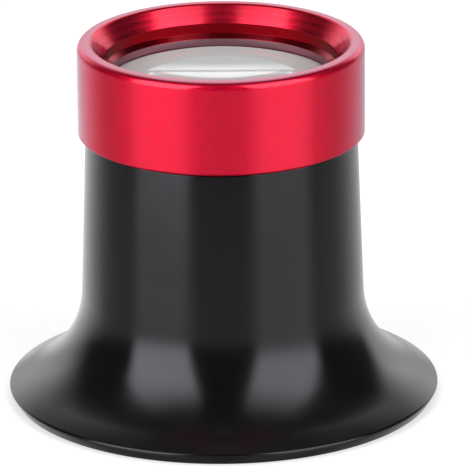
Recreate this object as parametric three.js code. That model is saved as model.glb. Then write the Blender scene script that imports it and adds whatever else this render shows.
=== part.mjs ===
// A watchmaker's loupe, in millimetres, +Z up along the optical axis.
// The origin is the middle of the flat face that the brim rests on.
// A black eye cup carries a screw-on metal bezel, and the bezel is the cell that holds the lens.

import * as THREE from "three";

// Lens, with both faces polished to the same curve
const LENS_DIAMETER = 21.4;
const LENS_CURVATURE = 30.0;
const LENS_EDGE = 0.62;
const LENS_BEVEL = 0.15;

// Bezel mouth, from the rim down to the lip that the lens bears on
const RIM_ROUND = 0.76;
const RIM_LAND = 0.28;
const MOUTH_ROUND = 0.5;
const MOUTH_DEPTH = 1.615;
const THROAT_DEPTH = 0.94;
const LEDGE_DROP = 0.42;
const LEDGE_WIDTH = 0.44;
const LIP_EDGE = 0.71;
const LIP_OVERLAP = 0.37;

// Bezel body, round the lens pocket and the threaded socket
const BEZEL_WALL = 1.42;
const BEZEL_CHAMFER = 0.2;
const SOCKET_STEP = 1.0;
const GROOVE_DEPTH = 0.3;
const GROOVE_LAND = 0.45;

// Snap ring and seat ring
const WIRE_DIAMETER = 0.7;
const WIRE_OPENING = 14;
const SEAT_RING_SECTION = 1.2;
const SEAT_RING_INSET = 0.9;

// Eye cup, from the brim up to the threaded neck
const BRIM_OVERHANG = 7.015;
const BRIM_EDGE = 1.0;
const BRIM_UNDERCUT = 0.6;
const BRIM_SLOPE = 27.5;
const FLARE_RADIUS = 9.5;
const FOOT_WIDTH = 0.68;
const CUP_WALL = 1.5;
const BARREL_TAPER = 0.53;
const SHOULDER_HEIGHT = 25.2;
const SHOULDER_CHAMFER = 0.15;
const BEZEL_OVERHANG = 0.675;
const NECK_LENGTH = 2.95;
const NECK_CHAMFER = 0.3;
const RELIEF_DEPTH = 0.3;
const RELIEF_WIDTH = 0.5;

// Clearances between the pieces
const THREAD_CLEARANCE = 0.1;
const SEAT_CLEARANCE = 0.15;
const LENS_CLEARANCE = 0.15;
const LIP_CLEARANCE = 0.1;
const WIRE_CLEARANCE = 0.05;
const RING_CLEARANCE = 0.05;
const RING_MARGIN = 0.1;

// Facets
const TURN_SEGMENTS = 64;
const LENS_STEPS = 9;
const FLARE_STEPS = 9;
const RIM_STEPS = 5;
const RING_SIDES = 10;
const WIRE_STEPS = 56;
const WIRE_CURVE_SEGMENTS = 4;

const QUARTER_TURN = Math.PI / 2;

// Radii, from the lens outwards
const lensRadius = LENS_DIAMETER / 2;
const apertureRadius = lensRadius - LIP_OVERLAP;
const throatRadius = apertureRadius + LEDGE_WIDTH;
const pocketRadius = lensRadius + LENS_CLEARANCE;
const grooveRadius = pocketRadius + GROOVE_DEPTH;
const wireRadius = grooveRadius - WIRE_CLEARANCE - WIRE_DIAMETER / 2;
const socketRadius = pocketRadius + SOCKET_STEP;
const bezelRadius = socketRadius + BEZEL_WALL;
const landRadius = bezelRadius - RIM_ROUND;
const mouthRadius = landRadius - RIM_LAND;
const neckRadius = socketRadius - THREAD_CLEARANCE;
const seatRingRadius = lensRadius - SEAT_RING_INSET;
const shoulderRadius = bezelRadius - BEZEL_OVERHANG;
const barrelFootRadius = shoulderRadius + BARREL_TAPER;
const brimRadius = barrelFootRadius + BRIM_OVERHANG;

// Heights, from the shoulder of the cup up to the rim of the bezel
const bezelBottom = SHOULDER_HEIGHT + SEAT_CLEARANCE;
const neckEnd = SHOULDER_HEIGHT + NECK_LENGTH;
const socketEnd = neckEnd + SEAT_CLEARANCE;
const grooveBottom = socketEnd + GROOVE_LAND;
const wireHeight = grooveBottom + WIRE_CLEARANCE + WIRE_DIAMETER / 2;
const grooveTop = wireHeight + WIRE_DIAMETER / 2 + WIRE_CLEARANCE;
const lensEdgeBottom = wireHeight + WIRE_DIAMETER / 2 + LIP_CLEARANCE;
const lensEdgeTop = lensEdgeBottom + LENS_EDGE;
const lensBottom = lensEdgeBottom - sagitta(lensRadius);
const lensTop = lensEdgeTop + sagitta(lensRadius);
const lipBottom = lensTop - sagitta(apertureRadius) + LIP_CLEARANCE;
const lipTop = lipBottom + LIP_EDGE;
const throatBottom = lipTop + LEDGE_DROP;
const mouthBottom = throatBottom + THROAT_DEPTH;
const rimHeight = mouthBottom + MOUTH_DEPTH;

// The seat ring's middle lies on a sphere that runs just under the lower face of the lens
const seatRingReach = LENS_CURVATURE + SEAT_RING_SECTION / 2 + RING_CLEARANCE;
const seatRingHeight = lensBottom + LENS_CURVATURE - Math.sqrt(seatRingReach ** 2 - seatRingRadius ** 2);
const seatHeight = seatRingHeight - SEAT_RING_SECTION / 2 - RING_CLEARANCE;

// How far a polished face has dropped at a distance from the axis
function sagitta(distance) {
  return LENS_CURVATURE - Math.sqrt(LENS_CURVATURE ** 2 - distance ** 2);
}

function point(radius, height) {
  return new THREE.Vector2(radius, height);
}

// Points on a circle in the profile plane, from one angle to another, with both ends
function arc(centreRadius, centreHeight, radius, startAngle, endAngle, steps) {
  const points = [];
  for (let step = 0; step <= steps; step += 1) {
    const angle = startAngle + ((endAngle - startAngle) * step) / steps;
    points.push(point(centreRadius + radius * Math.cos(angle), centreHeight + radius * Math.sin(angle)));
  }
  return points;
}

// Turns a profile about +Z. A profile runs up its outer side and down its inner side.
function turned(profile) {
  const geometry = new THREE.LatheGeometry(profile, TURN_SEGMENTS);
  return geometry.rotateX(QUARTER_TURN);
}

// A ring's profile closes on its first point
function turnedRing(profile) {
  return turned([...profile, profile[0].clone()]);
}

// The bell of the cup: the barrel runs into a concave flare, and the flare into a straight sloping brim,
// whose edge leans in to a flat foot. The two sides of the flare share a centre and lie a wall apart.
function cupGeometry() {
  const slope = THREE.MathUtils.degToRad(BRIM_SLOPE);
  const flareCentre = barrelFootRadius + FLARE_RADIUS;
  const brimRun = brimRadius - flareCentre + FLARE_RADIUS * Math.sin(slope);
  const flareHeight = BRIM_EDGE + brimRun * Math.tan(slope) + FLARE_RADIUS * Math.cos(slope);
  const barrelLean = Math.atan2(BARREL_TAPER, SHOULDER_HEIGHT - flareHeight);
  const flareEnd = 2 * Math.PI - QUARTER_TURN - slope;
  const flareStart = Math.PI + barrelLean;

  const insideRadius = FLARE_RADIUS + CUP_WALL;
  const footRadius = brimRadius - BRIM_UNDERCUT;
  const neckBore = seatRingRadius - SEAT_RING_SECTION / 2 - RING_MARGIN;
  const rebateRadius = seatRingRadius + SEAT_RING_SECTION / 2 + RING_MARGIN;
  const boreEnd = SHOULDER_HEIGHT - CUP_WALL;
  const barrelBore = shoulderRadius - CUP_WALL + CUP_WALL * Math.tan(barrelLean);

  return turnedRing([
    point(footRadius, 0),
    point(brimRadius, BRIM_EDGE),
    ...arc(flareCentre, flareHeight, FLARE_RADIUS, flareEnd, flareStart, FLARE_STEPS),
    point(shoulderRadius, SHOULDER_HEIGHT - SHOULDER_CHAMFER),
    point(shoulderRadius - SHOULDER_CHAMFER, SHOULDER_HEIGHT),
    point(neckRadius - RELIEF_DEPTH, SHOULDER_HEIGHT),
    point(neckRadius - RELIEF_DEPTH, SHOULDER_HEIGHT + RELIEF_WIDTH),
    point(neckRadius, SHOULDER_HEIGHT + RELIEF_WIDTH),
    point(neckRadius, neckEnd - NECK_CHAMFER),
    point(neckRadius - NECK_CHAMFER, neckEnd),
    point(rebateRadius, neckEnd),
    point(rebateRadius, seatHeight),
    point(neckBore, seatHeight),
    point(neckBore, boreEnd + barrelBore - neckBore),
    point(barrelBore, boreEnd),
    ...arc(flareCentre, flareHeight, insideRadius, flareStart, flareEnd, FLARE_STEPS),
    point(footRadius - FOOT_WIDTH, 0),
  ]);
}

// The cell: a coned mouth and a lip over the lens, then the lens pocket, the groove and the socket.
// The cone runs straight up from the throat and into the round at the inner side of the rim.
function bezelGeometry() {
  const seatDrop = sagitta(pocketRadius) - sagitta(apertureRadius);
  const roundHeight = rimHeight - MOUTH_ROUND;
  const coneRun = mouthRadius - throatRadius;
  const coneRise = roundHeight - mouthBottom;
  const coneSlope = Math.atan2(coneRise, coneRun) + Math.asin(MOUTH_ROUND / Math.hypot(coneRun, coneRise));

  return turnedRing([
    point(bezelRadius - BEZEL_CHAMFER, bezelBottom),
    point(bezelRadius, bezelBottom + BEZEL_CHAMFER),
    ...arc(landRadius, rimHeight - RIM_ROUND, RIM_ROUND, 0, QUARTER_TURN, RIM_STEPS),
    ...arc(mouthRadius, roundHeight, MOUTH_ROUND, QUARTER_TURN, QUARTER_TURN + coneSlope, RIM_STEPS),
    point(throatRadius, mouthBottom),
    point(throatRadius, throatBottom),
    point(apertureRadius, lipTop),
    point(apertureRadius, lipBottom),
    point(pocketRadius, lipBottom - seatDrop),
    point(pocketRadius, grooveTop),
    point(grooveRadius, grooveTop),
    point(grooveRadius, grooveBottom),
    point(pocketRadius, grooveBottom),
    point(pocketRadius, socketEnd),
    point(socketRadius, socketEnd),
    point(socketRadius, bezelBottom + BEZEL_CHAMFER),
    point(socketRadius + BEZEL_CHAMFER, bezelBottom),
  ]);
}

// A biconvex lens with a ground edge and a fine bevel at each face
function lensGeometry() {
  const faceRadius = lensRadius - LENS_BEVEL;
  const faceAngle = Math.asin(faceRadius / LENS_CURVATURE);
  const lowerCentre = lensBottom + LENS_CURVATURE;
  const upperCentre = lensTop - LENS_CURVATURE;
  const lowerFace = arc(0, lowerCentre, LENS_CURVATURE, -QUARTER_TURN, faceAngle - QUARTER_TURN, LENS_STEPS);
  const upperFace = arc(0, upperCentre, LENS_CURVATURE, QUARTER_TURN - faceAngle, QUARTER_TURN, LENS_STEPS);
  lowerFace[0].x = 0;
  upperFace[LENS_STEPS].x = 0;

  return turned([
    ...lowerFace,
    point(lensRadius, lensEdgeBottom + LENS_BEVEL),
    point(lensRadius, lensEdgeTop - LENS_BEVEL),
    ...upperFace,
  ]);
}

// The middle line of the snap ring: a level circle left open over a small angle
class OpenCircle extends THREE.Curve {
  constructor(radius, height, opening) {
    super();
    this.radius = radius;
    this.height = height;
    this.opening = opening;
  }

  getPoint(share, target = new THREE.Vector3()) {
    const angle = this.opening / 2 + (2 * Math.PI - this.opening) * share;
    return target.set(this.radius * Math.cos(angle), this.radius * Math.sin(angle), this.height);
  }
}

function snapRingGeometry() {
  const opening = THREE.MathUtils.degToRad(WIRE_OPENING);
  const section = new THREE.Shape().absarc(0, 0, WIRE_DIAMETER / 2, 0, 2 * Math.PI);
  return new THREE.ExtrudeGeometry(section, {
    steps: WIRE_STEPS,
    curveSegments: WIRE_CURVE_SEGMENTS,
    extrudePath: new OpenCircle(wireRadius, wireHeight, opening),
  });
}

function seatRingGeometry() {
  const geometry = new THREE.TorusGeometry(seatRingRadius, SEAT_RING_SECTION / 2, RING_SIDES, TURN_SEGMENTS);
  return geometry.translate(0, 0, seatRingHeight);
}

function piece(name, geometry, look) {
  const mesh = new THREE.Mesh(geometry, new THREE.MeshStandardMaterial(look));
  mesh.name = name;
  return mesh;
}

const loupe = new THREE.Group();

const cup = new THREE.Group();
cup.add(piece("eye_cup", cupGeometry(), { color: 0x1b1b1d, roughness: 0.35, metalness: 0 }));
cup.add(piece("seat_ring", seatRingGeometry(), { color: 0x141414, roughness: 0.6, metalness: 0 }));
loupe.add(cup);

const cell = new THREE.Group();
cell.add(piece("bezel", bezelGeometry(), { color: 0xc01030, roughness: 0.3, metalness: 1 }));
cell.add(piece("snap_ring", snapRingGeometry(), { color: 0xb9bcc0, roughness: 0.25, metalness: 1 }));
cell.add(piece("lens", lensGeometry(), { color: 0xf2f6f5, roughness: 0.02, metalness: 0 }));
loupe.add(cell);

export default loupe;
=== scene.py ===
"""Watchmaker loupe: the finish of every piece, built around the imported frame, in metres."""

import math

import bmesh
import bpy
from mathutils import Matrix, Vector


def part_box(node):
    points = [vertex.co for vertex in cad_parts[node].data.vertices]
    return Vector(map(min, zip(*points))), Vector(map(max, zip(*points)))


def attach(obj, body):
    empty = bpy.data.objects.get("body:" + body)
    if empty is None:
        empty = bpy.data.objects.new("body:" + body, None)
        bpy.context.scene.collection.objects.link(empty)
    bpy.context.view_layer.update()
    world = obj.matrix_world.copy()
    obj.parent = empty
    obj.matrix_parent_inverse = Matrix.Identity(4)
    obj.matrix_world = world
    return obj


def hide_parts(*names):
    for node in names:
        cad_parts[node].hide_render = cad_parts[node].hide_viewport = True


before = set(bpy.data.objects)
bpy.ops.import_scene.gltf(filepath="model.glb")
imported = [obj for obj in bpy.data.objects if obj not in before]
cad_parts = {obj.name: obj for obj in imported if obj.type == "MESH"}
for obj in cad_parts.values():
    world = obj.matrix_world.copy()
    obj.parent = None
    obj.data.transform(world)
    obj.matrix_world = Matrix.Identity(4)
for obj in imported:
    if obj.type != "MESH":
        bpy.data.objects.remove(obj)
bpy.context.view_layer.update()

MM = 0.001
TURN = 2 * math.pi
QUARTER = math.pi / 2
TINY = 1e-6


# Sizes in millimetres. The outer ones come from the frame, the inner ones repeat the part's own.

def box_mm(name):
    low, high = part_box(name)
    return [value / MM for value in low], [value / MM for value in high]


CUP_HIGH = box_mm("eye_cup")[1]
BEZEL_LOW, BEZEL_HIGH = box_mm("bezel")
LENS_LOW, LENS_HIGH = box_mm("lens")
WIRE_LOW, WIRE_HIGH = box_mm("snap_ring")
RING_LOW, RING_HIGH = box_mm("seat_ring")

BRIM_RADIUS = CUP_HIGH[0]
NECK_END = CUP_HIGH[2]
BEZEL_RADIUS = BEZEL_HIGH[0]
BEZEL_BOTTOM = BEZEL_LOW[2]
RIM_HEIGHT = BEZEL_HIGH[2]
LENS_RADIUS = LENS_HIGH[0]
LENS_BOTTOM = LENS_LOW[2]
LENS_TOP = LENS_HIGH[2]

LENS_CURVATURE = 30.0
LENS_EDGE = 0.62
LENS_BEVEL = 0.15
LENS_CLEARANCE = 0.15

RIM_ROUND = 0.76
RIM_LAND = 0.28
MOUTH_ROUND = 0.5
MOUTH_DEPTH = 1.615
THROAT_DEPTH = 0.94
LEDGE_DROP = 0.42
LEDGE_WIDTH = 0.44
LIP_EDGE = 0.71
LIP_OVERLAP = 0.37
BEZEL_WALL = 1.42
BEZEL_CHAMFER = 0.2
GROOVE_DEPTH = 0.3
GROOVE_LAND = 0.45
WIRE_DIAMETER = 0.7
WIRE_OPENING = math.radians(14)
WIRE_CLEARANCE = 0.05

SEAT_CLEARANCE = 0.15
SEAT_RING_SECTION = 1.2
SEAT_RING_INSET = 0.9
RING_MARGIN = 0.1
RING_CLEARANCE = 0.05

BRIM_EDGE = 1.0
BRIM_UNDERCUT = 0.6
BRIM_SLOPE = math.radians(27.5)
FLARE_RADIUS = 9.5
FOOT_WIDTH = 0.68
CUP_WALL = 1.5
BARREL_TAPER = 0.53
SHOULDER_CHAMFER = 0.15
BEZEL_OVERHANG = 0.675
NECK_CHAMFER = 0.3
RELIEF_DEPTH = 0.3
RELIEF_WIDTH = 0.5

# The screw thread runs either side of the plain cylinders of the frame, with a gap all along it
THREAD_PITCH = 0.75
THREAD_DEPTH = 0.4
THREAD_GAP = 0.14
THREAD_CLEARANCE = 0.1
THREAD_ROWS = 14
THREAD_SHARPNESS = 1.5
THREAD_RUNOUT = 0.4

# How far below the top of the rim its pale land ends, outside and inside, and its round. The pale land
# is a painted highlight.
LAND_DROP = 0.1
LAND_INNER_DROP = 0.03
ROUND_DROP = 0.42

# Radii of the eased edges
FINE_EASE = 0.05
METAL_EASE = 0.06
MOUTH_EASE = 0.3
PLASTIC_EASE = 0.1
BRIM_EASE = 0.22
FOOT_EASE = 0.15
SHOULDER_EASE = 0.8

# Facets
SEGMENTS = 256
ARC_STEPS = 32
FACE_STEPS = 40
CORNER_STEPS = 5
WIRE_STEPS = 160
WIRE_SIDES = 20
RING_SIDES = 24
SHARP_ANGLE = math.radians(40)
CORNER_SHARE = 0.45

SHOULDER_HEIGHT = BEZEL_BOTTOM - SEAT_CLEARANCE
SHOULDER_RADIUS = BEZEL_RADIUS - BEZEL_OVERHANG
SOCKET_RADIUS = BEZEL_RADIUS - BEZEL_WALL
NECK_RADIUS = SOCKET_RADIUS - THREAD_CLEARANCE
POCKET_RADIUS = LENS_RADIUS + LENS_CLEARANCE
APERTURE_RADIUS = LENS_RADIUS - LIP_OVERLAP
SEAT_RING_RADIUS = LENS_RADIUS - SEAT_RING_INSET
THREAD_RADIUS = (NECK_RADIUS + SOCKET_RADIUS) / 2
NECK_ROOT = THREAD_RADIUS - (THREAD_GAP + THREAD_DEPTH) / 2
SOCKET_ROOT = THREAD_RADIUS + (THREAD_GAP + THREAD_DEPTH) / 2


# Mesh building

def place(radius, angle, height):
    """A point in metres, from a radius, an angle about +Z and a height in millimetres."""
    return radius * math.cos(angle) * MM, radius * math.sin(angle) * MM, height * MM


def arc(centre, radius, start, end, steps):
    """Profile points on a circle, from one angle to another, with both ends."""
    points = []
    for step in range(steps + 1):
        angle = start + (end - start) * step / steps
        points.append((centre[0] + radius * math.cos(angle), centre[1] + radius * math.sin(angle)))
    return points


def eased(corners):
    """A closed profile of (radius, height, corner radius), with an arc in place of each corner."""
    points = []
    count = len(corners)
    for index in range(count):
        here = Vector(corners[index][:2])
        before = Vector(corners[index - 1][:2])
        after = Vector(corners[(index + 1) % count][:2])
        ease = corners[index][2]
        if ease == 0:
            points.append(tuple(here))
            continue
        towards = (before - here).normalized()
        away = (after - here).normalized()
        half = math.acos(max(-1, min(1, towards.dot(away)))) / 2
        longest = CORNER_SHARE * min((before - here).length, (after - here).length)
        reach = min(ease / math.tan(half), longest)
        radius = reach * math.tan(half)
        centre = here + (towards + away).normalized() * radius / math.sin(half)
        first = here + towards * reach - centre
        last = here + away * reach - centre
        start = math.atan2(first.y, first.x)
        sweep = (math.atan2(last.y, last.x) - start + math.pi) % TURN - math.pi
        points.extend(arc(centre, radius, start, start + sweep, CORNER_STEPS))
    return points


def plain(points):
    """Points of a smooth run, which keep their place."""
    return [(radius, height, 0) for radius, height in points]


def revolve(name, profile, finishes, finish_of=None, lift=None, closed=True):
    """Turns a profile about +Z into a piece.

    finish_of picks a face's finish from its two profile points, and lift moves a point's radius.
    """
    mesh = bmesh.new()
    columns = []
    poles = {}
    for index in range(SEGMENTS):
        angle = TURN * index / SEGMENTS
        column = []
        for row, (radius, height) in enumerate(profile):
            if radius < TINY:
                if row not in poles:
                    poles[row] = mesh.verts.new((0, 0, height * MM))
                column.append(poles[row])
                continue
            reach = radius if lift is None else lift(radius, height, angle)
            column.append(mesh.verts.new(place(reach, angle, height)))
        columns.append(column)
    count = len(profile)
    for index in range(SEGMENTS):
        here = columns[index]
        there = columns[(index + 1) % SEGMENTS]
        for row in range(count if closed else count - 1):
            beyond = (row + 1) % count
            ring = [here[row], there[row], there[beyond], here[beyond]]
            face = mesh.faces.new(list(dict.fromkeys(ring)))
            face.smooth = True
            if finish_of is not None:
                face.material_index = finish_of(profile[row], profile[beyond])
    return finished(name, mesh, finishes)


def finished(name, mesh, finishes):
    """Makes a piece of a mesh, with its finishes and its sharp edges marked."""
    data = bpy.data.meshes.new(name)
    mesh.to_mesh(data)
    mesh.free()
    for finish in finishes:
        data.materials.append(finish)
    data.set_sharp_from_angle(angle=SHARP_ANGLE)
    piece = bpy.data.objects.new(name, data)
    bpy.context.scene.collection.objects.link(piece)
    return piece


def section_loop(mesh, ring_radius, height, section_radius, angle, sides):
    """A round section of a ring, at an angle about +Z."""
    loop = []
    for side in range(sides):
        turn = TURN * side / sides
        reach = ring_radius + section_radius * math.cos(turn)
        rise = height + section_radius * math.sin(turn)
        loop.append(mesh.verts.new(place(reach, angle, rise)))
    return loop


def join_loops(mesh, first, second):
    """Faces between two sections."""
    for side in range(len(first)):
        beyond = (side + 1) % len(first)
        face = mesh.faces.new((first[side], second[side], second[beyond], first[beyond]))
        face.smooth = True


def whole_ring(name, ring_radius, height, section_radius, finishes):
    """A ring of round section."""
    mesh = bmesh.new()
    loops = []
    for step in range(SEGMENTS):
        angle = TURN * step / SEGMENTS
        loops.append(section_loop(mesh, ring_radius, height, section_radius, angle, RING_SIDES))
    for index in range(SEGMENTS):
        join_loops(mesh, loops[index], loops[(index + 1) % SEGMENTS])
    return finished(name, mesh, finishes)


def open_ring(name, ring_radius, height, section_radius, opening, finishes):
    """A ring of round wire that is open at +X, with a domed end on each side of the opening."""
    mesh = bmesh.new()
    dome = section_radius / ring_radius
    first_end = []
    for step in range(1, CORNER_STEPS):
        lean = QUARTER * step / CORNER_STEPS
        first_end.append((opening / 2 + dome * (1 - math.cos(lean)), math.sin(lean)))
    span = TURN - opening - 2 * dome
    middle = [(opening / 2 + dome + span * step / WIRE_STEPS, 1.0) for step in range(WIRE_STEPS + 1)]
    last_end = [(TURN - angle, share) for angle, share in reversed(first_end)]
    loops = []
    for angle, share in first_end + middle + last_end:
        loops.append(section_loop(mesh, ring_radius, height, section_radius * share, angle, WIRE_SIDES))
    for first, second in zip(loops, loops[1:]):
        join_loops(mesh, first, second)
    for loop, angle, order in ((loops[0], opening / 2, 1), (loops[-1], -opening / 2, -1)):
        tip = mesh.verts.new(place(ring_radius, angle, height))
        for side in range(WIRE_SIDES):
            ends = (loop[side], loop[(side + 1) % WIRE_SIDES])
            face = mesh.faces.new((tip, *ends[::order]))
            face.smooth = True
    return finished(name, mesh, finishes)


# Shader building

# The colour sockets of the Mix node, which has sockets of the same names for its other types
MIX_FIRST = 6
MIX_SECOND = 7
MIX_RESULT = 2

# Share of a turn that sets the shader's fine lines along the tangent
LINES_ROUND = 0.25

# The range that most of a noise lies in
NOISE_LOW = 0.3
NOISE_HIGH = 0.7


def new_material(name):
    """A material with its node tree and its main shader."""
    material = bpy.data.materials.new(name)
    material.use_nodes = True
    return material, material.node_tree, material.node_tree.nodes["Principled BSDF"]


def node(tree, kind, **settings):
    """A new node with its settings."""
    made = tree.nodes.new(kind)
    for key, value in settings.items():
        setattr(made, key, value)
    return made


def feed(tree, socket, value):
    """Sets a socket to a number, or links it to another node's output."""
    if isinstance(value, (int, float)):
        socket.default_value = value
    else:
        tree.links.new(value, socket)


def maths(tree, operation, *values):
    """The result of a Math node on numbers and outputs."""
    made = node(tree, "ShaderNodeMath", operation=operation)
    for socket, value in zip(made.inputs, values):
        feed(tree, socket, value)
    return made.outputs[0]


def total(tree, *values):
    result = values[0]
    for value in values[1:]:
        result = maths(tree, "ADD", result, value)
    return result


def product(tree, *values):
    result = values[0]
    for value in values[1:]:
        result = maths(tree, "MULTIPLY", result, value)
    return result


def ranged(tree, value, start, end, low, high, smooth=True):
    """Maps start..end of a value onto low..high, and holds the ends."""
    made = node(tree, "ShaderNodeMapRange", interpolation_type="SMOOTHSTEP" if smooth else "LINEAR")
    feed(tree, made.inputs["Value"], value)
    feed(tree, made.inputs["From Min"], start)
    feed(tree, made.inputs["From Max"], end)
    feed(tree, made.inputs["To Min"], low)
    feed(tree, made.inputs["To Max"], high)
    return made.outputs["Result"]


def speckle(tree, scale, detail=3.0):
    """Noise over the piece's own coordinates, with its scale in bumps to the millimetre."""
    coordinates = node(tree, "ShaderNodeTexCoord")
    noise = node(tree, "ShaderNodeTexNoise")
    noise.inputs["Scale"].default_value = scale / MM
    noise.inputs["Detail"].default_value = detail
    tree.links.new(coordinates.outputs["Object"], noise.inputs["Vector"])
    return noise.outputs["Fac"]


def turned_lines(tree, scale):
    """Fine rings left by the tool, as noise that changes only with radius and height."""
    coordinates = node(tree, "ShaderNodeTexCoord")
    parts = node(tree, "ShaderNodeSeparateXYZ")
    tree.links.new(coordinates.outputs["Object"], parts.inputs[0])
    across = [maths(tree, "POWER", parts.outputs[axis], 2.0) for axis in (0, 1)]
    along = maths(tree, "SUBTRACT", parts.outputs[2], maths(tree, "SQRT", total(tree, *across)))
    noise = node(tree, "ShaderNodeTexNoise", noise_dimensions="1D")
    noise.inputs["Scale"].default_value = scale / MM
    noise.inputs["Detail"].default_value = 2.0
    tree.links.new(along, noise.inputs["W"])
    return noise.outputs["Fac"]


def bump(tree, height, strength, distance, shader):
    """Roughens the surface by a height, at most a distance in millimetres."""
    made = node(tree, "ShaderNodeBump")
    made.inputs["Strength"].default_value = strength
    made.inputs["Distance"].default_value = distance * MM
    tree.links.new(height, made.inputs["Height"])
    tree.links.new(made.outputs["Normal"], shader.inputs["Normal"])


def shade(tree, shader, factor, first, second):
    """Runs the base colour from one to another along a factor."""
    made = node(tree, "ShaderNodeMix", data_type="RGBA")
    tree.links.new(factor, made.inputs[0])
    made.inputs[MIX_FIRST].default_value = (*first, 1)
    made.inputs[MIX_SECOND].default_value = (*second, 1)
    tree.links.new(made.outputs[MIX_RESULT], shader.inputs["Base Color"])


def wear(tree, shader, factor, low, high):
    """Runs the roughness from one to another along the middle of a noise."""
    roughness = ranged(tree, factor, NOISE_LOW, NOISE_HIGH, low, high)
    tree.links.new(roughness, shader.inputs["Roughness"])


def stretch(tree, shader, amount):
    """Draws reflections out across fine lines that run round the axis."""
    shader.inputs["Anisotropic"].default_value = amount
    shader.inputs["Anisotropic Rotation"].default_value = LINES_ROUND
    tangent = node(tree, "ShaderNodeTangent", direction_type="RADIAL", axis="Z")
    tree.links.new(tangent.outputs[0], shader.inputs["Tangent"])


# Materials

GLASS_IOR = 1.52
UNTINTED = (1, 1, 1)

# Turned lines: how many to the millimetre, their strength, and their depth in millimetres
FINE_LINES = (9.0, 0.10, 0.01)
SOFT_LINES = (7.0, 0.20, 0.012)
DEEP_LINES = (7.0, 0.9, 0.03)

# How far turned lines change the colour and the roughness of the red metal
LINE_TONE = 0.08
LINE_WEAR = 0.03

# The satin of the bezel's wall: specks to the millimetre, how far their roughness differs, stretch
SATIN_SPECKS = 25.0
SATIN_WEAR = 0.31
SATIN_STRETCH = 0.5


def cup_plastic():
    """Black plastic with a trace of violet in its gloss, and fine lines round it."""
    material, tree, shader = new_material("cup_plastic")
    cloud = speckle(tree, 0.25)
    shade(tree, shader, cloud, (0.0022, 0.0022, 0.0024), (0.0034, 0.0034, 0.0036))
    wear(tree, shader, cloud, 0.18, 0.22)
    shader.inputs["IOR"].default_value = 1.52
    shader.inputs["Specular Tint"].default_value = (0.95, 0.917, 1.0, 1)
    stretch(tree, shader, 0.8)
    bump(tree, speckle(tree, 9.0), 0.06, 0.02, shader)
    return material


def anodised(name, colour, edge, roughness, skin, lines, satin=False):
    """Red dyed oxide on turned aluminium: a coloured metal with an edge tint, under a clear skin.

    Satin metal mixes sharp and broad reflections, in specks too fine to see.
    """
    material, tree, shader = new_material(name)
    line_scale, line_strength, line_depth = lines
    grain = turned_lines(tree, line_scale)
    darker = [(1 - LINE_TONE) * part for part in colour]
    lighter = [(1 + LINE_TONE) * part for part in colour]
    shade(tree, shader, grain, darker, lighter)
    if satin:
        specks = speckle(tree, SATIN_SPECKS, detail=0.0)
        wear(tree, shader, specks, roughness - SATIN_WEAR, roughness + SATIN_WEAR)
        stretch(tree, shader, SATIN_STRETCH)
    else:
        wear(tree, shader, grain, roughness - LINE_WEAR, roughness + LINE_WEAR)
    shader.inputs["Metallic"].default_value = 1.0
    shader.inputs["Specular Tint"].default_value = (*edge, 1)
    shader.inputs["Coat Weight"].default_value = skin
    shader.inputs["Coat Roughness"].default_value = 0.1
    shader.inputs["Coat IOR"].default_value = 1.5
    bump(tree, grain, line_strength, line_depth, shader)
    return material


def lens_glass():
    """Glass whose outside, in place of its own reflection, has a pale diffuse haze: a painted
    reflection. Light that meets a face from inside finds clear glass.
    """
    material, tree, shader = new_material("lens_glass")
    smear = speckle(tree, 0.6)
    shade(tree, shader, smear, (0.94, 0.98, 0.98), (0.96, 0.99, 0.99))
    shader.inputs["Roughness"].default_value = 0.0
    # The share that is not transmitted is the pale diffuse haze, a painted reflection; a Specular IOR
    # Level of 0 takes away the face's own reflection
    shader.inputs["Transmission Weight"].default_value = 0.59
    shader.inputs["IOR"].default_value = GLASS_IOR
    shader.inputs["Specular IOR Level"].default_value = 0.0
    inside = node(tree, "ShaderNodeBsdfGlass")
    inside.inputs["Color"].default_value = (1.0, 0.985, 0.99, 1)
    inside.inputs["Roughness"].default_value = 0.0
    inside.inputs["IOR"].default_value = GLASS_IOR
    facing = node(tree, "ShaderNodeNewGeometry")
    mixed = node(tree, "ShaderNodeMixShader")
    tree.links.new(facing.outputs["Backfacing"], mixed.inputs["Fac"])
    tree.links.new(shader.outputs[0], mixed.inputs[1])
    tree.links.new(inside.outputs[0], mixed.inputs[2])
    tree.links.new(mixed.outputs[0], tree.nodes["Material Output"].inputs["Surface"])
    return material


def ground_glass():
    """The frosted edge of the lens."""
    material, tree, shader = new_material("ground_glass")
    grit = speckle(tree, 14.0)
    shade(tree, shader, grit, (0.50, 0.53, 0.52), (0.68, 0.70, 0.69))
    shader.inputs["Roughness"].default_value = 0.6
    shader.inputs["IOR"].default_value = GLASS_IOR
    bump(tree, grit, 0.3, 0.02, shader)
    return material


def spring_steel():
    """Bright drawn wire."""
    material, tree, shader = new_material("spring_steel")
    grain = speckle(tree, 6.0)
    shade(tree, shader, grain, (0.50, 0.50, 0.49), (0.66, 0.66, 0.64))
    wear(tree, shader, grain, 0.20, 0.34)
    shader.inputs["Metallic"].default_value = 1.0
    bump(tree, grain, 0.1, 0.01, shader)
    return material


def black_rubber():
    """Matt black rubber."""
    material, tree, shader = new_material("black_rubber")
    grain = speckle(tree, 5.0)
    shade(tree, shader, grain, (0.010, 0.010, 0.010), (0.022, 0.022, 0.022))
    wear(tree, shader, grain, 0.50, 0.65)
    bump(tree, grain, 0.2, 0.02, shader)
    return material


# Pieces

# Numbers of the finishes on the bezel and on the lens
WALL, LAND, CONE, THROAT, LEDGE, LIP, ROUND = range(7)
POLISHED, GROUND = range(2)


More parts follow.
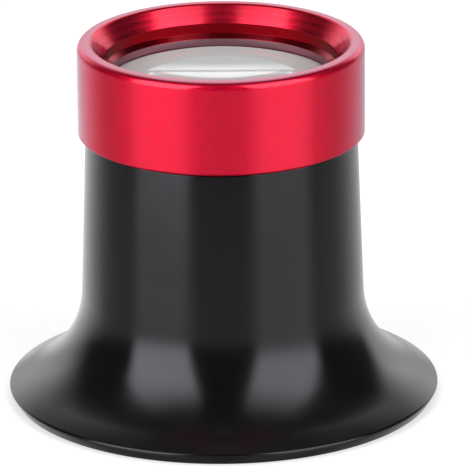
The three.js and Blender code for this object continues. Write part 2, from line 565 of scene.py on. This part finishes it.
def thread_wave(height, angle):
    """From 0 in the root to 1 on the crest of a right-hand thread, with flats on both."""
    phase = (height / THREAD_PITCH - angle / TURN) % 1.0
    ramp = (1 - 4 * abs(phase - 0.5)) * THREAD_SHARPNESS
    return (max(-1, min(1, ramp)) + 1) / 2


def runout(height, low, high):
    """Fades the thread in and out at its ends."""
    return max(0, min(1, (height - low) / THREAD_RUNOUT, (high - height) / THREAD_RUNOUT))


def thread_rows(radius, low, high):
    rows = math.ceil((high - low) / THREAD_PITCH * THREAD_ROWS)
    return [(radius, low + (high - low) * row / rows) for row in range(rows + 1)]


def sagitta(distance):
    """How far a polished face of the lens has dropped at a distance from the axis."""
    return LENS_CURVATURE - math.sqrt(LENS_CURVATURE ** 2 - distance ** 2)


def eye_cup():
    barrel_foot = SHOULDER_RADIUS + BARREL_TAPER
    centre_radius = barrel_foot + FLARE_RADIUS
    brim_run = BRIM_RADIUS - centre_radius + FLARE_RADIUS * math.sin(BRIM_SLOPE)
    centre_height = BRIM_EDGE + brim_run * math.tan(BRIM_SLOPE) + FLARE_RADIUS * math.cos(BRIM_SLOPE)
    centre = (centre_radius, centre_height)
    lean = math.atan2(BARREL_TAPER, SHOULDER_HEIGHT - centre_height)
    start = math.pi + lean
    end = TURN - QUARTER - BRIM_SLOPE
    foot = BRIM_RADIUS - BRIM_UNDERCUT
    bore = SEAT_RING_RADIUS - SEAT_RING_SECTION / 2 - RING_MARGIN
    rebate = SEAT_RING_RADIUS + SEAT_RING_SECTION / 2 + RING_MARGIN
    seat = RING_LOW[2] - RING_CLEARANCE
    bore_end = SHOULDER_HEIGHT - CUP_WALL
    barrel_bore = SHOULDER_RADIUS - CUP_WALL + CUP_WALL * math.tan(lean)
    relief = NECK_RADIUS - RELIEF_DEPTH
    thread_low = SHOULDER_HEIGHT + RELIEF_WIDTH / 2
    thread_high = NECK_END - NECK_CHAMFER

    profile = eased([
        (foot, 0, FOOT_EASE),
        (BRIM_RADIUS, BRIM_EDGE, BRIM_EASE),
        *plain(arc(centre, FLARE_RADIUS, end, start, ARC_STEPS)),
        (SHOULDER_RADIUS, SHOULDER_HEIGHT, SHOULDER_CHAMFER),
        (relief, SHOULDER_HEIGHT, PLASTIC_EASE),
        *plain(thread_rows(NECK_ROOT, thread_low, thread_high)),
        (NECK_RADIUS - NECK_CHAMFER, NECK_END, PLASTIC_EASE),
        (rebate, NECK_END, PLASTIC_EASE),
        (rebate, seat, PLASTIC_EASE),
        (bore, seat, PLASTIC_EASE),
        (bore, bore_end + barrel_bore - bore, MOUTH_EASE),
        (barrel_bore, bore_end, SHOULDER_EASE),
        *plain(arc(centre, FLARE_RADIUS + CUP_WALL, start, end, ARC_STEPS)),
        (foot - FOOT_WIDTH, 0, FOOT_EASE),
    ])

    def lift(radius, height, angle):
        if abs(radius - NECK_ROOT) > TINY:
            return radius
        fade = runout(height, thread_low, thread_high + THREAD_RUNOUT)
        return NECK_ROOT + THREAD_DEPTH * thread_wave(height, angle) * fade

    return revolve("eye_cup_shell", profile, [cup_plastic()], lift=lift)


def bezel():
    throat = APERTURE_RADIUS + LEDGE_WIDTH
    land = BEZEL_RADIUS - RIM_ROUND
    mouth = land - RIM_LAND
    mouth_bottom = RIM_HEIGHT - MOUTH_DEPTH
    round_height = RIM_HEIGHT - MOUTH_ROUND
    cone_run = mouth - throat
    cone_rise = round_height - mouth_bottom
    cone_reach = math.hypot(cone_run, cone_rise)
    cone_slope = math.atan2(cone_rise, cone_run) + math.asin(MOUTH_ROUND / cone_reach)
    throat_bottom = mouth_bottom - THROAT_DEPTH
    lip_top = throat_bottom - LEDGE_DROP
    lip_bottom = lip_top - LIP_EDGE
    pocket_top = lip_bottom - sagitta(POCKET_RADIUS) + sagitta(APERTURE_RADIUS)
    groove = POCKET_RADIUS + GROOVE_DEPTH
    socket_end = NECK_END + SEAT_CLEARANCE
    groove_bottom = socket_end + GROOVE_LAND
    groove_top = groove_bottom + WIRE_DIAMETER + 2 * WIRE_CLEARANCE
    thread_low = BEZEL_BOTTOM + BEZEL_CHAMFER
    thread_high = socket_end - RELIEF_WIDTH

    profile = eased([
        (BEZEL_RADIUS - BEZEL_CHAMFER, BEZEL_BOTTOM, FINE_EASE),
        (BEZEL_RADIUS, BEZEL_BOTTOM + BEZEL_CHAMFER, METAL_EASE),
        *plain(arc((land, RIM_HEIGHT - RIM_ROUND), RIM_ROUND, 0, QUARTER, ARC_STEPS)),
        *plain(arc((mouth, round_height), MOUTH_ROUND, QUARTER, QUARTER + cone_slope, ARC_STEPS)),
        (throat, mouth_bottom, METAL_EASE),
        (throat, throat_bottom, FINE_EASE),
        (APERTURE_RADIUS, lip_top, FINE_EASE),
        (APERTURE_RADIUS, lip_bottom, FINE_EASE),
        (POCKET_RADIUS, pocket_top, FINE_EASE),
        (POCKET_RADIUS, groove_top, FINE_EASE),
        (groove, groove_top, FINE_EASE),
        (groove, groove_bottom, FINE_EASE),
        (POCKET_RADIUS, groove_bottom, FINE_EASE),
        (POCKET_RADIUS, socket_end, FINE_EASE),
        (SOCKET_ROOT + FINE_EASE, socket_end, FINE_EASE),
        *plain(reversed(thread_rows(SOCKET_ROOT, thread_low, thread_high))),
        (SOCKET_ROOT + FINE_EASE, BEZEL_BOTTOM, FINE_EASE),
    ])

    def lift(radius, height, angle):
        if abs(radius - SOCKET_ROOT) > TINY:
            return radius
        fade = runout(height, thread_low, thread_high)
        return SOCKET_ROOT - THREAD_DEPTH * (1 - thread_wave(height, angle)) * fade

    def finish_of(first, second):
        low = min(first[1], second[1])
        outside = max(first[0], second[0]) > mouth + TINY
        if low > RIM_HEIGHT - (LAND_DROP if outside else LAND_INNER_DROP):
            return LAND
        if outside and low > RIM_HEIGHT - ROUND_DROP:
            return ROUND
        if outside or low < lip_bottom - TINY:
            return WALL
        if low < lip_top - FINE_EASE:
            return LIP
        if low < throat_bottom - FINE_EASE:
            return LEDGE
        return THROAT if low < mouth_bottom - METAL_EASE else CONE

    # In the order of their numbers: colour, edge tint, roughness, weight of the clear skin, lines
    finishes = [
        anodised(
            "red_anodised", (0.95, 0.0045, 0.052), (0.22, 0.6, 0.8), 0.51, 0.66, FINE_LINES, satin=True,
        ),
        # The rim's pale top land: its paler, greyer red is a painted highlight, on an oxide without the
        # clear skin
        anodised("red_land_painted_highlight", (0.54, 0.18, 0.255), UNTINTED, 0.38, 0.0, FINE_LINES),
        anodised("red_turned", (0.82, 0.013, 0.046), (0.5, 0.6, 0.7), 0.29, 0.45, DEEP_LINES),
        # The throat's darker red is painted shade deep in the mouth, on a rougher finish with a thinner
        # clear skin
        anodised("red_throat_painted_shade", (0.32, 0.001, 0.008), UNTINTED, 0.30, 0.1, SOFT_LINES),
        # The ledge's dark red is painted shade, in the recess under the throat
        anodised("red_ledge_painted_shade", (0.30, 0.001, 0.010), UNTINTED, 0.22, 0.3, SOFT_LINES),
        # The lip's dull mauve-grey is painted shade at the bottom of the mouth, with a painted pale
        # reflection in it
        anodised("red_lip_painted_shade_and_reflection", (0.36, 0.19, 0.227), UNTINTED, 0.35, 0.0, SOFT_LINES),
        anodised("red_round", (0.84, 0.005, 0.05), (0.5, 0.6, 0.8), 0.36, 0.75, FINE_LINES),
    ]
    return revolve("bezel_ring", profile, finishes, finish_of=finish_of, lift=lift)


def lens():
    face = LENS_RADIUS - LENS_BEVEL
    angle = math.asin(face / LENS_CURVATURE)
    edge_bottom = LENS_BOTTOM + sagitta(LENS_RADIUS)
    edge_top = edge_bottom + LENS_EDGE
    lower_centre = (0, LENS_BOTTOM + LENS_CURVATURE)
    upper_centre = (0, LENS_TOP - LENS_CURVATURE)
    lower = arc(lower_centre, LENS_CURVATURE, -QUARTER, angle - QUARTER, FACE_STEPS)
    upper = arc(upper_centre, LENS_CURVATURE, QUARTER - angle, QUARTER, FACE_STEPS)
    profile = [
        (0.0, lower[0][1]),
        *lower[1:],
        (LENS_RADIUS, edge_bottom + LENS_BEVEL),
        (LENS_RADIUS, edge_top - LENS_BEVEL),
        *upper[:-1],
        (0.0, upper[-1][1]),
    ]

    def finish_of(first, second):
        return GROUND if max(first[0], second[0]) > face + TINY else POLISHED

    finishes = [lens_glass(), ground_glass()]
    return revolve("lens_element", profile, finishes, finish_of=finish_of, closed=False)


def snap_ring():
    radius = POCKET_RADIUS + GROOVE_DEPTH - WIRE_CLEARANCE - WIRE_DIAMETER / 2
    height = (WIRE_LOW[2] + WIRE_HIGH[2]) / 2
    return open_ring("snap_wire", radius, height, WIRE_DIAMETER / 2, WIRE_OPENING, [spring_steel()])


def seat_ring():
    height = (RING_LOW[2] + RING_HIGH[2]) / 2
    return whole_ring("seat_o_ring", SEAT_RING_RADIUS, height, SEAT_RING_SECTION / 2, [black_rubber()])


for make, cad_node, body, slot in (
    (eye_cup, "eye_cup", "eye_cup", "cup_plastic"),
    (seat_ring, "seat_ring", "eye_cup", "black_rubber"),
    (bezel, "bezel", "bezel", "red_anodised"),
    (snap_ring, "snap_ring", "bezel", "spring_steel"),
    (lens, "lens", "lens", "lens_glass"),
):
    piece = make()
    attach(piece, body)
    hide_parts(cad_node)


# Stage: a pale floor, soft lamps, and a studio that only reflections and the lens see

FLOOR_SIZE = 6.0
FLOOR_DROP = 0.02
FLOOR_GREY = 0.62
FLOOR_GLOW = 0.5

# Lamps, in millimetres, degrees and watts
LAMP_AIM = 15.0
LAMP_DISTANCE = 600.0
LAMP_SIZE = 450.0
SIDE_LAMP_AZIMUTH = 48
SIDE_LAMP_ELEVATION = 42
SIDE_LAMP_POWER = 1.7
BACK_LAMP_AZIMUTH = 180
BACK_LAMP_ELEVATION = 55
BACK_LAMP_POWER = 1.0

# Brightness of the studio, where the white of the picture is 1
AMBIENT = 0.35
SHADE = 0.055
SKY = 0.72
SOFTBOX_LEFT = 3.4
SOFTBOX_RIGHT = 0.87 * SOFTBOX_LEFT
TABLE_FRONT = 0.37
TABLE_LEFT = 0.77
TABLE_RIGHT = 0.86
TABLE_DIP_LEFT = -0.42
TABLE_DIP_RIGHT = -0.49
TABLE_REAR_LEFT = 0.85
TABLE_REAR_RIGHT = 0.5
TABLE_REAR_LOW = 0.4
TABLE_UNDER = 0.35
SWEEP_LOW = 1.05
SWEEP_HIGH = 1.75
SWEEP_UPPER = 0.24
SWEEP_TOP = 0.3
SWEEP_MIDDLE = 0.7
SWEEP_LEFT = 0.9
SWEEP_RIGHT = 1.0
PANEL_LEFT = 0.36
PANEL_RIGHT = 0.34
CEILING = 0.05
STRIP = 1.15
STRIP_TOP = 0.15
ROUND_LOW = 0.42
ROUND_HIGH = 3.5
ROUND_ENDS = 0.6

# Where these lights begin and end, in degrees. Azimuth runs from the camera's side round to the
# back on either side, elevation up from the level. Sides are given as the left and the right one.
HORIZON = (-8, 2)
GAP_ELEVATIONS = (-17, 47)
GAP_HALF_WIDTHS = (30, 21)
GAP_SOFTNESS = 4.0
SOFTBOX_LEAN_ELEVATIONS = (10, 35)
SOFTBOX_LEAN_SIDES = (5, 0)
SOFTBOX_OUTER_START_SIDES = (68, 72)
SOFTBOX_OUTER_END_SIDES = (78, 83)
SOFTBOX_HEAD_START_SIDES = (32, 36)
SOFTBOX_HEAD_END_SIDES = (70, 76)
SOFTBOX_FOOT_START = -8
SOFTBOX_FOOT_END_SIDES = (4, 15)
TABLE_FRONT_AZIMUTHS = (18, 36)
TABLE_DIP_AZIMUTHS = (68, 84)
TABLE_REAR_AZIMUTHS = (100, 145)
TABLE_REAR_ELEVATIONS = (-30, -22)
TABLE_UNDER_ELEVATIONS = (-75, -35)
SWEEP_EDGE_ELEVATIONS = (25, 45)
SWEEP_LEFT_START = 116
SWEEP_RIGHT_STARTS = (127, 133)
SWEEP_END_SIDES = (146, 142)
SWEEP_RISE_ELEVATIONS = (2, 16)
SWEEP_FALL_ELEVATIONS = (14, 40)
SWEEP_TOP_ELEVATIONS = (48, 66)
SWEEP_MIDDLE_START_SIDES = (160, 146)
SWEEP_MIDDLE_END = 172
PANEL_START_SIDES = (133, 137)
PANEL_END_SIDES = (139, 140)
PANEL_BACK_AZIMUTHS = (152, 166)
PANEL_FOOT_ELEVATIONS = (32, 42)
PANEL_HEAD_ELEVATIONS = (52, 72)
CEILING_ELEVATIONS = (64, 80)
STRIP_AZIMUTHS = (150, 168)
STRIP_FOOT_ELEVATIONS = (20, 28)
STRIP_HEAD_ELEVATIONS = (66, 80)

# The round lamp behind: half its width as a sine, its middle and half its height in degrees.
# Its edge, its bright ring and its dark rim are shares of its half width, its ends are sines.
ROUND_HALF_WIDTH = 0.175
ROUND_ELEVATION = 9.0
ROUND_HALF_HEIGHT = 18.8
ROUND_EDGE = (1.04, 1.07)
ROUND_RING = (0.55, 0.95)
ROUND_RIM = (0.955, 0.97)
ROUND_END_SINES = (0.05, 0.14)
BACK_SINES = (0.0, 0.2)

# The dark bar over it: its height in degrees, its bend in degrees to the square of a sine
BAR_ELEVATION = 33.0
BAR_BEND = 420.0
BAR_SOFTNESS = 0.7
BAR_TOP_ELEVATIONS = (37, 41)
BAR_END_SINES = (0.14, 0.18)


def make_floor():
    """A pale matt floor, lifted to white for the camera alone, so that the shadow stays on it."""
    bpy.ops.mesh.primitive_plane_add(size=FLOOR_SIZE, location=(0, 0, -FLOOR_DROP * MM))
    floor = bpy.context.object
    floor.name = "floor"
    material, tree, shader = new_material("floor_white")
    shader.inputs["Base Color"].default_value = (FLOOR_GREY, FLOOR_GREY, FLOOR_GREY, 1)
    shader.inputs["Roughness"].default_value = 1.0
    shader.inputs["Specular IOR Level"].default_value = 0.0
    shader.inputs["Emission Color"].default_value = (1, 1, 1, 1)
    rays = node(tree, "ShaderNodeLightPath")
    glow = product(tree, rays.outputs["Is Camera Ray"], FLOOR_GLOW)
    tree.links.new(glow, shader.inputs["Emission Strength"])
    floor.data.materials.append(material)
    floor.visible_glossy = False


def make_lamp(name, azimuth, elevation, power):
    """A square soft lamp that faces the object. Its azimuth runs from the camera to the right."""
    turn = math.radians(azimuth)
    tilt = math.radians(elevation)
    away = Vector((math.sin(turn) * math.cos(tilt), -math.cos(turn) * math.cos(tilt), math.sin(tilt)))
    data = bpy.data.lights.new(name, "AREA")
    data.shape = "SQUARE"
    data.size = LAMP_SIZE * MM
    data.energy = power
    lamp = bpy.data.objects.new(name, data)
    lamp.location = (Vector((0, 0, LAMP_AIM)) + away * LAMP_DISTANCE) * MM
    lamp.rotation_euler = away.to_track_quat("Z", "Y").to_euler()
    lamp.visible_glossy = False
    lamp.visible_transmission = False
    bpy.context.scene.collection.objects.link(lamp)


def make_world():
    """Soft even light for matt surfaces, and the light tent that gloss and glass show."""
    world = bpy.data.worlds.new("studio")
    bpy.context.scene.world = world
    world.use_nodes = True
    world.cycles.sampling_method = "NONE"
    tree = world.node_tree
    rays = node(tree, "ShaderNodeLightPath")
    coordinates = node(tree, "ShaderNodeTexCoord")
    parts = node(tree, "ShaderNodeSeparateXYZ")
    tree.links.new(coordinates.outputs["Generated"], parts.inputs[0])
    rightwards, backwards, upwards = parts.outputs
    across = maths(tree, "ABSOLUTE", rightwards)
    towards = product(tree, backwards, -1.0)
    azimuth = maths(tree, "DEGREES", maths(tree, "ARCTAN2", across, towards))
    elevation = maths(tree, "DEGREES", maths(tree, "ARCSINE", upwards))
    right = maths(tree, "GREATER_THAN", rightwards, 0.0)

    def ramp(value, span, low=0.0, high=1.0):
        return ranged(tree, value, *span, low, high)

    def fade(value, span, end=0.0):
        return ramp(value, span, 1, end)

    def sided(left_value, right_value):
        return ranged(tree, right, 0, 1, left_value, right_value)

    def square(value):
        return maths(tree, "POWER", value, 2.0)

    def minus(first, second):
        return maths(tree, "SUBTRACT", first, second)

    above = ramp(elevation, HORIZON)

    # A tall softbox on each side of the camera, with a gap between them that narrows upwards
    gap = ranged(tree, elevation, *GAP_ELEVATIONS, *GAP_HALF_WIDTHS, smooth=False)
    inner = ramp(azimuth, (minus(gap, GAP_SOFTNESS), total(tree, gap, GAP_SOFTNESS)))
    lean = ramp(elevation, SOFTBOX_LEAN_ELEVATIONS, 0, sided(*SOFTBOX_LEAN_SIDES))
    outer_span = (sided(*SOFTBOX_OUTER_START_SIDES), sided(*SOFTBOX_OUTER_END_SIDES))
    outer = fade(minus(azimuth, lean), outer_span)
    head = fade(elevation, (sided(*SOFTBOX_HEAD_START_SIDES), sided(*SOFTBOX_HEAD_END_SIDES)))
    foot = ramp(elevation, (SOFTBOX_FOOT_START, sided(*SOFTBOX_FOOT_END_SIDES)))
    boxes = product(tree, inner, outer, head, foot, sided(SOFTBOX_LEFT, SOFTBOX_RIGHT))

    # The white table below the horizon
    near = ramp(azimuth, TABLE_FRONT_AZIMUTHS, TABLE_FRONT, sided(TABLE_LEFT, TABLE_RIGHT))
    dip = ramp(azimuth, TABLE_DIP_AZIMUTHS, 0, sided(TABLE_DIP_LEFT, TABLE_DIP_RIGHT))
    far = ramp(azimuth, TABLE_REAR_AZIMUTHS, 0, sided(TABLE_REAR_LEFT, TABLE_REAR_RIGHT))
    rear = product(tree, far, ramp(elevation, TABLE_REAR_ELEVATIONS, TABLE_REAR_LOW, 1))
    under = ramp(elevation, TABLE_UNDER_ELEVATIONS, TABLE_UNDER, 1)
    table = product(tree, total(tree, near, dip, rear), under, minus(1.0, above))

    # The sweep behind, brightest low down
    right_start = ramp(elevation, SWEEP_EDGE_ELEVATIONS, *SWEEP_RIGHT_STARTS)
    behind = ramp(azimuth, (sided(SWEEP_LEFT_START, right_start), sided(*SWEEP_END_SIDES)))
    rise = ramp(elevation, SWEEP_RISE_ELEVATIONS, SWEEP_LOW, SWEEP_HIGH)
    fall = fade(elevation, SWEEP_FALL_ELEVATIONS, SWEEP_UPPER)
    top = fade(elevation, SWEEP_TOP_ELEVATIONS, SWEEP_TOP)
    middle = fade(azimuth, (sided(*SWEEP_MIDDLE_START_SIDES), SWEEP_MIDDLE_END), SWEEP_MIDDLE)
    sweep = product(tree, behind, rise, fall, top, middle, above, sided(SWEEP_LEFT, SWEEP_RIGHT))

    # A panel high behind on each side, and the ceiling
    panel = product(
        tree,
        ramp(azimuth, (sided(*PANEL_START_SIDES), sided(*PANEL_END_SIDES))),
        fade(azimuth, PANEL_BACK_AZIMUTHS),
        ramp(elevation, PANEL_FOOT_ELEVATIONS),
        fade(elevation, PANEL_HEAD_ELEVATIONS),
        sided(PANEL_LEFT, PANEL_RIGHT),
    )
    ceiling = ramp(elevation, CEILING_ELEVATIONS, 0, CEILING)

    # A strip light high behind
    strip = product(
        tree,
        ramp(azimuth, STRIP_AZIMUTHS),
        ramp(elevation, STRIP_FOOT_ELEVATIONS),
        fade(elevation, STRIP_HEAD_ELEVATIONS, STRIP_TOP),
    )

    # A round lamp low behind, bright towards its dark rim, which only the polished lens mirrors
    wide = square(maths(tree, "DIVIDE", rightwards, ROUND_HALF_WIDTH))
    high = square(maths(tree, "DIVIDE", minus(elevation, ROUND_ELEVATION), ROUND_HALF_HEIGHT))
    spread = maths(tree, "SQRT", total(tree, wide, high))
    back = product(tree, rays.outputs["Is Singular Ray"], ramp(backwards, BACK_SINES))
    inside = product(tree, back, fade(spread, ROUND_EDGE))
    ring = ramp(spread, ROUND_RING, ROUND_LOW, ROUND_HIGH)
    ends = fade(across, ROUND_END_SINES, ROUND_ENDS)
    glow = product(tree, inside, ring, ends, fade(spread, ROUND_RIM))

    # A dark bar over the round lamp, lower towards its ends, which ends the bright part of the lens
    bar_foot = minus(BAR_ELEVATION, product(tree, square(rightwards), BAR_BEND))
    over = ramp(minus(elevation, bar_foot), (-BAR_SOFTNESS, BAR_SOFTNESS))
    bar = product(tree, back, over, fade(elevation, BAR_TOP_ELEVATIONS), fade(across, BAR_END_SINES))

    around = total(tree, boxes, table, sweep, panel, ceiling, product(tree, strip, STRIP), SHADE)
    clear = product(tree, minus(1.0, inside), minus(1.0, bar))
    studio = total(tree, product(tree, around, clear), glow)
    bent = rays.outputs["Is Transmission Ray"]
    mirrored = product(tree, rays.outputs["Is Glossy Ray"], minus(1.0, bent))
    strength = total(
        tree,
        rays.outputs["Is Camera Ray"],
        product(tree, rays.outputs["Is Diffuse Ray"], AMBIENT),
        product(tree, mirrored, studio),
        product(tree, bent, SKY),
    )
    background = tree.nodes["Background"]
    background.inputs["Color"].default_value = (1, 1, 1, 1)
    tree.links.new(strength, background.inputs["Strength"])


make_floor()
make_lamp("lamp_left", -SIDE_LAMP_AZIMUTH, SIDE_LAMP_ELEVATION, SIDE_LAMP_POWER)
make_lamp("lamp_right", SIDE_LAMP_AZIMUTH, SIDE_LAMP_ELEVATION, SIDE_LAMP_POWER)
make_lamp("lamp_back", BACK_LAMP_AZIMUTH, BACK_LAMP_ELEVATION, BACK_LAMP_POWER)
make_world()


# Camera, at the photograph's viewing angle, in millimetres

CAMERA_PLACE = (1.17, -496.63, 186.70)
CAMERA_PITCH = math.radians(19.05)
CAMERA_ROLL = math.radians(-0.48)
CAMERA_LENS = 432.8
SENSOR = 36.0
CLIP_START = 10.0

camera_data = bpy.data.cameras.new("camera")
camera_data.lens = CAMERA_LENS
camera_data.sensor_width = SENSOR
camera_data.clip_start = CLIP_START * MM
camera = bpy.data.objects.new("camera", camera_data)
camera.location = [value * MM for value in CAMERA_PLACE]
tilted = Matrix.Rotation(QUARTER - CAMERA_PITCH, 3, "X") @ Matrix.Rotation(CAMERA_ROLL, 3, "Z")
camera.rotation_euler = tilted.to_euler()
bpy.context.scene.collection.objects.link(camera)
bpy.context.scene.camera = camera
bpy.context.scene.view_settings.view_transform = "Standard"
